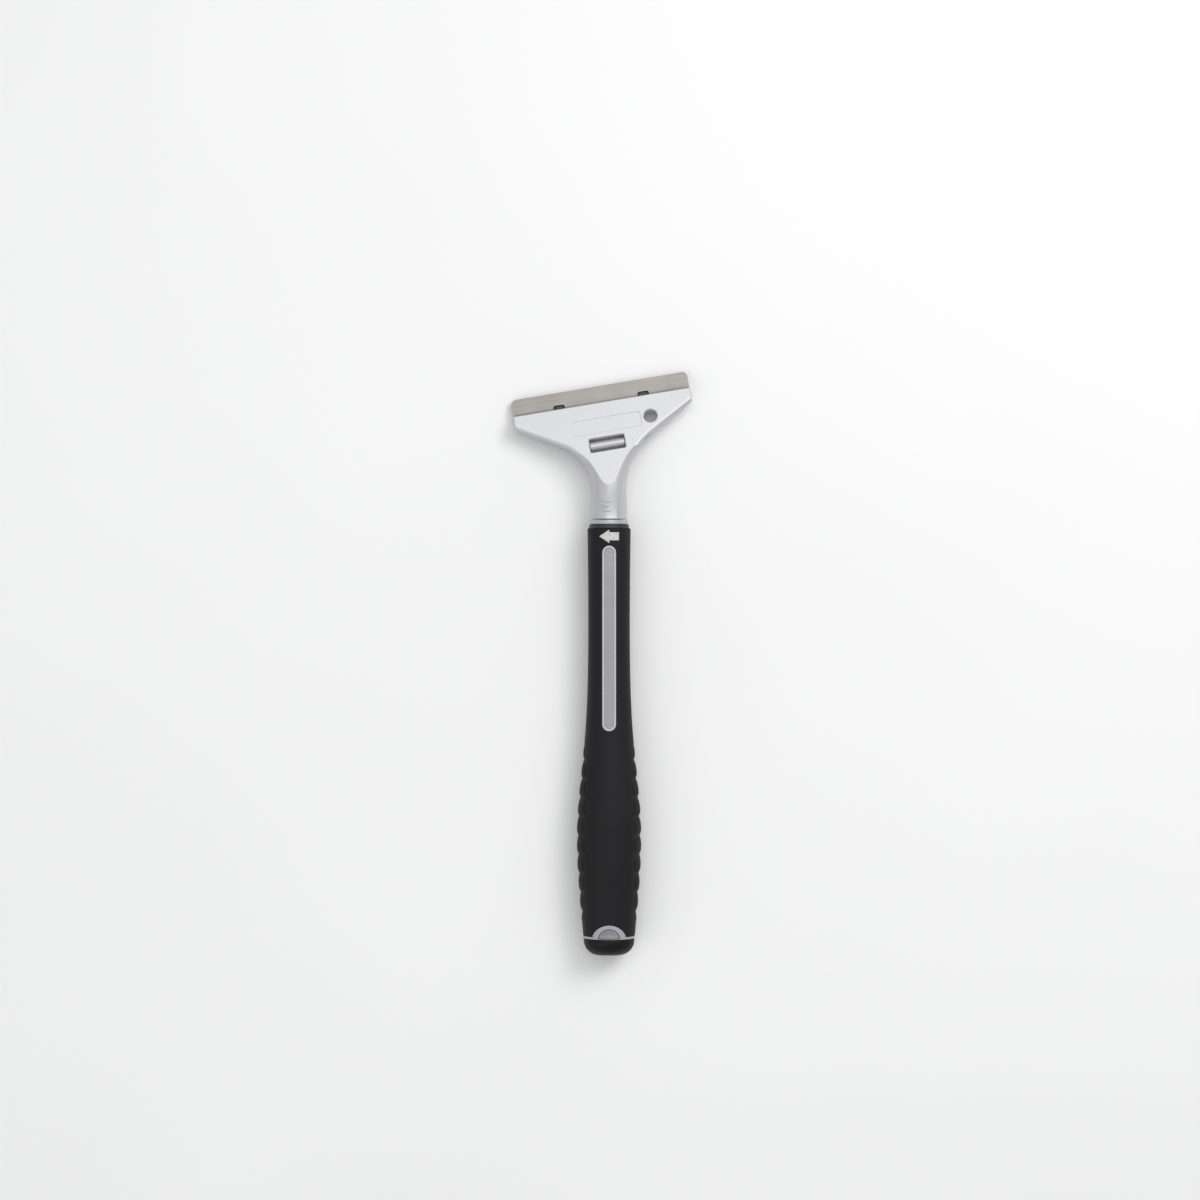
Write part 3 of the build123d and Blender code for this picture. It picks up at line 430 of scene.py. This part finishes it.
def ringed_mesh(name, rings, loop, material, sharp=40):
    """A closed mesh through rings of points in millimetres: a loop joins last to first, else two caps."""
    count = len(rings[0])
    points = [AXIS + Vector(p) * MM for ring in rings for p in ring]
    faces = []
    for r in range(len(rings) - (0 if loop else 1)):
        here, there = r * count, ((r + 1) % len(rings)) * count
        for i in range(count):
            j = (i + 1) % count
            faces.append((here + i, here + j, there + j, there + i))
    if not loop:
        faces.append(tuple(range(count - 1, -1, -1)))
        faces.append(tuple(range((len(rings) - 1) * count, len(rings) * count)))
    mesh = bpy.data.meshes.new(name)
    mesh.from_pydata(points, [], faces)
    mesh.materials.append(material)
    mesh.shade_smooth()
    tidy = bmesh.new()
    tidy.from_mesh(mesh)
    bmesh.ops.remove_doubles(tidy, verts=tidy.verts, dist=WELD)
    bmesh.ops.recalc_face_normals(tidy, faces=tidy.faces)
    tidy.to_mesh(mesh)
    tidy.free()
    mesh.set_sharp_from_angle(angle=radians(sharp))
    piece = bpy.data.objects.new(name, mesh)
    bpy.context.scene.collection.objects.link(piece)
    return piece


def rolled(distance, radius):
    """How far a rolled edge has dropped, this far from the edge."""
    if distance >= radius:
        return 0.0
    return radius - sqrt(radius ** 2 - (radius - max(distance, 0.0)) ** 2)


def from_strip(x, y):
    """Distance outside the strip's stadium outline, negative inside it."""
    middle, reach = (STRIP_FROM + STRIP_TO) / 2, (STRIP_TO - STRIP_FROM) / 2 - STRIP_RADIUS
    return hypot(x, max(0.0, abs(y - middle) - reach)) - STRIP_RADIUS


def from_band(y, z):
    """Distance outside a side band's lens-shaped outline, negative inside it."""
    along, up = (y - BAND_Y) / BAND_LONG, z / BAND_HIGH
    level = max(hypot(along, up), 0.05)
    slope = hypot(along / BAND_LONG, up / BAND_HIGH) / level
    return (level - 1) / max(slope, 0.02)


def lip(distance):
    """Pocket floor inside an outline, and a small rolled lip just outside it."""
    if distance < 0:
        return POCKET
    return rolled(distance, LIP_ROLL)


def arch_edge(angle):
    """Where the skin starts: at the end flange, or higher round the arch of the end plug."""
    start = SKIN_FROM
    for _ in range(4):
        x = half_sizes(start)[0] * cos(angle)
        if sin(angle) > 0 and abs(x) < ARCH_HALF:
            radius = (ARCH_HALF ** 2 + ARCH_RISE ** 2) / (2 * ARCH_RISE)
            start = ARCH_TOP - radius + sqrt(radius ** 2 - x ** 2)
    return start


def skin_inset(point, ends):
    """How far the skin is sunk at a point: pockets, lips and rolled ends."""
    x, y, z = point
    sunk = rolled(ends, END_ROLL)
    if z > 0:
        sunk = max(sunk, lip(from_strip(x, y)))
    return max(sunk, lip(from_band(y, z)))


def matt_rubber(name, light, dark, rough, grain_size):
    """Matt thermoplastic rubber: near-black, grained, paler where hands have polished it."""
    material, tree, shader = start_finish(name, IOR=1.5, Specular_IOR_Level=0.22)
    place = add(tree, "TexCoord").outputs["Object"]
    grain = add(tree, "TexNoise", {"Vector": place, "Scale": 1 / grain_size, "Detail": 3.0}).outputs["Fac"]
    hands = add(tree, "TexNoise", {"Vector": place, "Scale": 1 / HAND_PATCH, "Detail": 4.0}).outputs["Fac"]
    tone = add(tree, "Mix", {0: 0.5, 2: grain, 3: hands}).outputs[0]
    spread = add(tree, "MapRange", {"Value": tone, "From Min": 0.35, "From Max": 0.65}).outputs["Result"]
    tones = {0: spread, 6: linear(dark), 7: linear(light)}
    tree.links.new(add(tree, "Mix", tones, data_type="RGBA").outputs[2], shader.inputs["Base Color"])
    sheen = {"Value": hands, "From Min": 0.3, "From Max": 0.7, "To Min": rough - 0.06, "To Max": rough + 0.06}
    tree.links.new(add(tree, "MapRange", sheen).outputs["Result"], shader.inputs["Roughness"])
    bumps = {"Height": grain, "Distance": 0.06 * MM, "Strength": 0.45}
    tree.links.new(add(tree, "Bump", bumps).outputs["Normal"], shader.inputs["Normal"])
    return material


skin_rubber = matt_rubber("matt_black_rubber", "#1D1C1F", "#151416", 0.58, SKIN_GRAIN)
skin_length = SKIN_TO - SKIN_FROM
plain_length = skin_length - 2 * END_STEPS[-1]
steps = END_STEPS + [END_STEPS[-1] + plain_length * i / ALONG for i in range(1, ALONG)]
steps += [skin_length - step for step in END_STEPS[::-1]]
angles = [2 * pi * i / AROUND for i in range(AROUND)]
starts = [arch_edge(angle) for angle in angles]
skin_rings = []
for step in steps:
    ring = []
    for angle, start in zip(angles, starts):
        y = start + (SKIN_TO - start) * step / skin_length
        ends = min(y - start, SKIN_TO - y)
        ring.append(round_handle(angle, y, skin_inset(round_handle(angle, y, 0), ends)))
    skin_rings.append(ring)
for share in [1 - i / BACK_ROWS for i in range(BACK_ROWS + 1)]:
    skin_rings.append([round_handle(angle, start + (SKIN_TO - start) * share, SKIN_THICK)
                       for angle, start in zip(angles, starts)])
skin = ringed_mesh("grip_skin", skin_rings, True, skin_rubber)
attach(skin, "handle")
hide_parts("grip_sleeve")

# ---------------------------------------------------------------------------------------------
# Neck marks: three short raised bars and a fine parting ridge, cast in with the neck and under the
# same lacquer. The bars are generic cavity marks; the ridge is where two slides of the die met.
NECK_WIDTH, NECK_DEPTH = 9.8, 9.0
MARK_PROUD, MARK_SUNK = 0.16, 0.15
BAR_LEFT, BAR_RIGHTS, BAR_Y, BAR_PITCH, BAR_HALF = -4.8, (1.2, 0.2, 1.2), 251.4, 2.7, 0.6
RIDGE_X, RIDGE_FROM, RIDGE_TO, RIDGE_HALF = 5.4, 247.6, 262.5, 0.28


def on_neck(x, y, height):
    """A point on the front of the round neck, raised by height."""
    return x, y, NECK_DEPTH * sqrt(1 - (x / NECK_WIDTH) ** 2) + height


def raised_mark(name, x0, x1, y0, y1, half, stations):
    """A low rounded ridge on the neck from one point to another."""
    turn = Vector((x1 - x0, y1 - y0)).normalized() * half
    rings = []
    for i in range(stations + 1):
        share = i / stations
        size = max(0.05, sqrt(max(0.0, 1 - (abs(2 * share - 1)) ** 8)))
        x, y = x0 + (x1 - x0) * share, y0 + (y1 - y0) * share
        ring = [on_neck(x - turn.y * size * cos(t), y + turn.x * size * cos(t), MARK_PROUD * size * sin(t))
                for t in (pi * j / 8 for j in range(9))]
        ring += [on_neck(x + turn.y * size * k, y - turn.x * size * k, -MARK_SUNK) for k in (0.9, -0.9)]
        rings.append(ring)
    ridge = ringed_mesh(name, rings, False, head_lacquer, 50)
    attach(ridge, "head")


for i, right in enumerate(BAR_RIGHTS):
    bar_y = BAR_Y + BAR_PITCH * i
    raised_mark(f"neck_bar_{i + 1}", BAR_LEFT, right, bar_y, bar_y, BAR_HALF, 16)
raised_mark("neck_parting_ridge", RIDGE_X, RIDGE_X, RIDGE_FROM, RIDGE_TO, RIDGE_HALF, 40)

# ---------------------------------------------------------------------------------------------
# Side bands: a softer, grippier rubber set into each side of the skin. Each has a row of scallops,
# steep at the lower side of every valley, that a finger can press against.
RIB_FROM, RIB_PITCH, RIB_DEPTH = 25.5, 10.7, 1.0
BAND_PROUD, BAND_BACK, RIB_LOWEST = 0.12, 1.5, 1.3    # crests above the skin; back and valleys below it
RIB_FADE, BAND_ROLL, BAND_GRAIN = 1.6, 0.45, 0.6 * MM
BAND_ROWS, BAND_ACROSS = 420, 26
band_rubber = matt_rubber("soft_black_rubber", "#19191B", "#121213", 0.64, BAND_GRAIN)


def scallop(y):
    """Depth of the scallops: a sharp valley every pitch, with each swell fullest near its lower end."""
    phase = ((y - RIB_FROM) / RIB_PITCH) % 1.0
    return RIB_DEPTH * (1 - sin(pi * phase ** 0.7)) ** 1.3


def side_band(name, side, node):
    """One side band, as rings across it from end to end."""
    rings = []
    for i in range(BAND_ROWS + 1):
        y = BAND_Y - BAND_LONG * 0.995 * cos(pi * i / BAND_ROWS)
        reach = BAND_HIGH * 0.99 * sqrt(max(0.0, 1 - ((y - BAND_Y) / BAND_LONG) ** 2))
        a, b = half_sizes(y)
        outer, inner = [], []
        for j in range(BAND_ACROSS + 1):
            z = -reach * cos(pi * j / BAND_ACROSS)
            edge = -from_band(y, z)
            fade = min(1.0, edge / RIB_FADE)
            sunk = scallop(y) * fade ** 0.6 + 1.2 * rolled(edge, BAND_ROLL) - BAND_PROUD * fade
            for points, depth in ((outer, min(sunk, RIB_LOWEST)), (inner, BAND_BACK)):
                bow = sqrt(max(0.0, 1 - (z / (b - depth)) ** 2))
                points.append((side * (a - depth) * bow, y, z))
        rings.append(outer + inner[::-1])
    band = ringed_mesh(name, rings, False, band_rubber, 50)
    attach(band, "handle")
    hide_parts(node)


side_band("left_side_band", -1, "left_rib_pad")
side_band("right_side_band", 1, "right_rib_pad")

# ---------------------------------------------------------------------------------------------
# Strip: a long inlay of grey ABS, satin on its raised rim and finely grained in its sunk middle,
# clipped into a slot in the skin. A small moulded ring marks its upper end.
# Each point of the section is a distance in from the edge and a height above the skin.
STRIP_SECTION = [(0.05, -0.1), (0.12, 0.08), (0.3, 0.18), (0.5, 0.22), (0.85, 0.22), (1.05, 0.17), (1.2, 0.0),
                 (1.3, -0.2), (1.42, -0.3), (1.7, -0.33), (2.3, -0.33), (3.0, -0.33), (3.9, -0.33)]
STRIP_BACK, RIM_WIDTH, STRIP_ALONG, STRIP_TURN = 0.65, 1.25, 150, 32
RING_RADIUS, RING_HALF, RING_SUNK, RING_RISE = 1.35, 0.24, 0.33, 0.16
RING_AROUND, RING_SIDES = 48, 10
satin_rim = moulded_abs("satin_grey_abs", "#C4C5C8", "#B9BABD", 0.40)
grained_middle = moulded_abs("grained_grey_abs", "#A2A2A6", "#959599", 0.50)


def stadium(inset):
    """Points round the strip's outline, drawn in by inset."""
    radius = STRIP_RADIUS - inset
    low, high = STRIP_FROM + STRIP_RADIUS, STRIP_TO - STRIP_RADIUS
    points = [(radius, low + (high - low) * i / STRIP_ALONG) for i in range(STRIP_ALONG)]
    turn = [pi * i / STRIP_TURN for i in range(STRIP_TURN)]
    points += [(radius * cos(t), high + radius * sin(t)) for t in turn]
    points += [(-radius, high - (high - low) * i / STRIP_ALONG) for i in range(STRIP_ALONG)]
    points += [(-radius * cos(t), low - radius * sin(t)) for t in turn]
    return points


strip_rings = [[front_of_handle(x, y, STRIP_BACK) for x, y in stadium(inset)] for inset in (3.9, 2.0, 0.05)]
for inset, height in STRIP_SECTION:
    strip_rings.append([front_of_handle(x, y, -height) for x, y in stadium(inset)])
strip = ringed_mesh("grey_strip", strip_rings, False, satin_rim, 60)
strip.data.materials.append(grained_middle)
for face in strip.data.polygons:
    x, y, _ = (face.center - AXIS) / MM
    if from_strip(x, y) < -RIM_WIDTH and face.normal.z > 0:
        face.material_index = 1
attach(strip, "handle")
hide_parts("strip_inlay")

mark_rings = []
for i in range(RING_AROUND):
    angle = 2 * pi * i / RING_AROUND
    ring = []
    for j in range(RING_SIDES):
        swing = 2 * pi * j / RING_SIDES
        reach = RING_RADIUS + RING_HALF * cos(swing)
        x, y = reach * cos(angle), STRIP_TO - STRIP_RADIUS + reach * sin(angle)
        ring.append(front_of_handle(x, y, RING_SUNK - RING_RISE * sin(swing)))
    mark_rings.append(ring)
mark = ringed_mesh("strip_ring_mark", mark_rings, True, satin_rim, 60)
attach(mark, "handle")

# ---------------------------------------------------------------------------------------------
# Direction arrow: thick white ink printed on the skin, a little uneven, with a soft raised edge. It
# shows the way to turn the handle to free the blade.
ARROW_Y, ARROW_TIP, ARROW_TAIL, ARROW_BARB = 236.6, -5.5, 5.7, 0.0
ARROW_HEAD, ARROW_SHAFT, ARROW_POINT, SHOULDER = 3.9, 2.35, 0.05, 0.25
INK, INK_EDGE, INK_BACK, INK_MOTTLE = 0.14, -0.1, -0.3, 1.111 * MM
ARROW_STEPS = 16


def white_ink():
    """Screen-printed white ink: matt, slightly mottled where it is thin."""
    material, tree, shader = start_finish("printed_white_ink", IOR=1.5)
    place = add(tree, "TexCoord").outputs["Object"]
    thin = add(tree, "TexNoise", {"Vector": place, "Scale": 1 / INK_MOTTLE, "Detail": 4.0}).outputs["Fac"]
    spread = add(tree, "MapRange", {"Value": thin, "From Min": 0.3, "From Max": 0.5}).outputs["Result"]
    tones = {0: spread, 6: linear("#ABA9A5"), 7: linear("#CFCDC8")}
    tree.links.new(add(tree, "Mix", tones, data_type="RGBA").outputs[2], shader.inputs["Base Color"])
    sheen = {"Value": thin, "To Min": 0.45, "To Max": 0.62}
    tree.links.new(add(tree, "MapRange", sheen).outputs["Result"], shader.inputs["Roughness"])
    bumps = {"Height": thin, "Distance": 0.03 * MM, "Strength": 0.4}
    tree.links.new(add(tree, "Bump", bumps).outputs["Normal"], shader.inputs["Normal"])
    return material


def arrow_ring(x, half, height):
    """A cross-section of the arrow at x: an inked top with soft edges over a buried base."""
    top = [(-half * share, height) for share in (0.94, 0.6, 0.2, -0.2, -0.6, -0.94)]
    section = [(-half, INK_EDGE)] + top + [(half, INK_EDGE), (half, INK_BACK), (-half, INK_BACK)]
    return [front_of_handle(x, ARROW_Y + y, -h) for y, h in section]


arrow_rings = []
for share in [i / ARROW_STEPS for i in range(ARROW_STEPS + 1)]:
    x = ARROW_TIP + (ARROW_BARB - ARROW_TIP) * share
    half = ARROW_POINT + (ARROW_HEAD - ARROW_POINT) * share
    arrow_rings.append(arrow_ring(x, half, INK * min(1.0, 8 * share)))
for share in [i / ARROW_STEPS for i in range(ARROW_STEPS + 1)]:
    x = ARROW_BARB + SHOULDER + (ARROW_TAIL - ARROW_BARB - SHOULDER) * share
    arrow_rings.append(arrow_ring(x, ARROW_SHAFT, INK if share < 1 else INK_EDGE))
arrow = ringed_mesh("white_arrow", arrow_rings, False, white_ink())
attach(arrow, "handle")
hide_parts("direction_arrow")

# ---------------------------------------------------------------------------------------------
# End plug: light grey ABS, moulded in one piece with the arch and the thin band that show between
# the grip and the boot, with a satin skin.
dress("end_plug", moulded_abs("light_grey_abs", "#ADACB2", "#A1A0A7", 0.38))

# ---------------------------------------------------------------------------------------------
# Latch tongue: the same ABS a shade darker. Its half-disc is dished for the thumb, which presses it
# in to free the blade drawer, and a springy arm behind it carries the nose that catches the core.
PAD_Y, PAD_RADIUS, PAD_FOOT, PAD_UNDERSIDE = 9.4, 6.0, 10.3, 3.5
DISH, DISH_EDGE, PAD_ROLL = 0.75, 0.94, 0.35
PAD_MIDDLE = 0.42                 # height of the half-disc's middle, as a share of its own height
PAD_AROUND, PAD_ALONG_FOOT, ROLL_ROWS, DISH_ROWS = 48, 24, 6, 24
ARM_HALF, ARM_LOW, ARM_HIGH, ARM_FROM, ARM_TO, ARM_EDGE = 2.4, 6.4, 7.9, 13.0, 21.2, 0.15
NOSE_FROM, NOSE_HIGH = 19.4, 8.6


def half_disc(share):
    """Points round the half-disc, drawn in towards its middle to a share of its size."""
    middle = PAD_FOOT + PAD_MIDDLE * (PAD_Y + PAD_RADIUS - PAD_FOOT)
    low = asin((PAD_FOOT - PAD_Y) / PAD_RADIUS)
    edge = [(PAD_RADIUS * cos(t), PAD_Y + PAD_RADIUS * sin(t))
            for t in (low + (pi - 2 * low) * i / PAD_AROUND for i in range(PAD_AROUND + 1))]
    left, right = edge[-1][0], edge[0][0]
    edge += [(left + (right - left) * i / PAD_ALONG_FOOT, PAD_FOOT) for i in range(1, PAD_ALONG_FOOT)]
    return [(x * share, middle + (y - middle) * share) for x, y in edge]


tongue_abs = moulded_abs("mid_grey_abs", "#94939A", "#86858C", 0.42)
pad_rings = [[(x, y, PAD_UNDERSIDE) for x, y in half_disc(share)] for share in (0.05, 0.6, 1.0)]
pad_rings.append([front_of_handle(x, y, PAD_ROLL) for x, y in half_disc(1.0)])
for i in range(1, ROLL_ROWS + 1):
    swing = pi / 2 * i / ROLL_ROWS
    share = 1 - PAD_ROLL / PAD_RADIUS * (1 - cos(swing))
    pad_rings.append([front_of_handle(x, y, PAD_ROLL * (1 - sin(swing))) for x, y in half_disc(share)])
for i in range(1, DISH_ROWS + 1):
    share = (1 - PAD_ROLL / PAD_RADIUS) * (1 - i / (DISH_ROWS + 1))
    sunk = DISH * (1 - (share / DISH_EDGE) ** 2) ** 1.5
    pad_rings.append([front_of_handle(x, y, sunk) for x, y in half_disc(share)])
thumb_pad = ringed_mesh("latch_thumb_pad", pad_rings, False, tongue_abs, 50)
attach(thumb_pad, "latch")
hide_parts("latch_tongue")

arm_rings = []
for y, top in ((ARM_FROM, ARM_HIGH), (NOSE_FROM - 0.05, ARM_HIGH), (NOSE_FROM, NOSE_HIGH - ARM_EDGE),
               (NOSE_FROM + 0.2, NOSE_HIGH), (ARM_TO - 0.7, NOSE_HIGH), (ARM_TO, ARM_HIGH - 0.2)):
    sides = [(-1, ARM_LOW + ARM_EDGE), (-0.94, ARM_LOW), (0.94, ARM_LOW), (1, ARM_LOW + ARM_EDGE)]
    sides += [(1, top - ARM_EDGE), (0.94, top), (-0.94, top), (-1, top - ARM_EDGE)]
    arm_rings.append([(ARM_HALF * k, y, z) for k, z in sides])
latch_arm = ringed_mesh("latch_arm", arm_rings, False, tongue_abs)
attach(latch_arm, "latch")

# ---------------------------------------------------------------------------------------------
# Latch spring: a short coil of the same tempered wire. It stands on the plug's floor under the thumb
# pad. The real one closes up as the pad is pressed; here it is drawn fixed to the plug.
COIL_Y, COIL_FOOT, COIL_LONG, COIL_RADIUS, COIL_WIRE, COIL_PITCH = 12.8, 0.85, 2.6, 1.7, 0.3, 0.85
COIL_STEPS, WIRE_SIDES = 120, 12
coil_rise = COIL_LONG - 2 * COIL_WIRE
coil_rings = []
for share in [i / COIL_STEPS for i in range(COIL_STEPS + 1)]:
    swing = 2 * pi * coil_rise / COIL_PITCH * share
    middle = COIL_FOOT + COIL_WIRE + coil_rise * share
    ring = []
    for side in [2 * pi * j / WIRE_SIDES for j in range(WIRE_SIDES)]:
        reach, height = COIL_RADIUS + COIL_WIRE * cos(side), middle + COIL_WIRE * sin(side)
        ring.append((reach * cos(swing), COIL_Y + reach * sin(swing), height))
    coil_rings.append(ring)
coil = ringed_mesh("coiled_latch_spring", coil_rings, False, wire, 50)
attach(coil, "plug")
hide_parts("latch_spring")
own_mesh(coil)

# ---------------------------------------------------------------------------------------------
# End boot: a black rubber cap moulded over the plug's end, domed, with a rolled rim at the seam. It is
# the hardest of the three rubbers and has a little more gloss.
BOOT_TOP, BOOT_WIDTH, BOOT_DEPTH, BOOT_ROUND, BOOT_TAPER = 9.65, 14.35, 11.65, 7.4, 1.1
RIM_ROLL, BOOT_GRAIN, BOOT_AROUND, DOME_ROWS = 0.4, 0.5 * MM, 160, 40


def boot_ring(y, sunk):
    """An oval of the boot, this far from its end and this much smaller than its rim."""
    return [((BOOT_WIDTH - sunk) * cos(t), y, (BOOT_DEPTH - sunk) * sin(t))
            for t in (2 * pi * i / BOOT_AROUND for i in range(BOOT_AROUND))]


boot_rings = [boot_ring(0.0, BOOT_ROUND + BOOT_TAPER + sunk) for sunk in (2.9, 1.8, 0.9)]
for i in range(DOME_ROWS + 1):
    swing = pi / 2 * i / DOME_ROWS
    y = BOOT_ROUND * (1 - cos(swing))
    boot_rings.append(boot_ring(y, BOOT_ROUND * (1 - sin(swing)) + BOOT_TAPER * (1 - y / BOOT_TOP) ** 1.5))
boot_rings += [boot_ring(BOOT_TOP - RIM_ROLL * (1 - sin(swing)), RIM_ROLL * (1 - cos(swing)))
               for swing in (0.4, 0.8, 1.2, 1.57)]
boot_rings += [boot_ring(BOOT_TOP, sunk) for sunk in (1.5, 4.0, 8.0)]
boot_rubber = matt_rubber("hard_black_rubber", "#131315", "#0D0D0E", 0.5, BOOT_GRAIN)
boot = ringed_mesh("rubber_end_boot", boot_rings, False, boot_rubber)
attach(boot, "plug")
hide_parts("end_cap_boot")
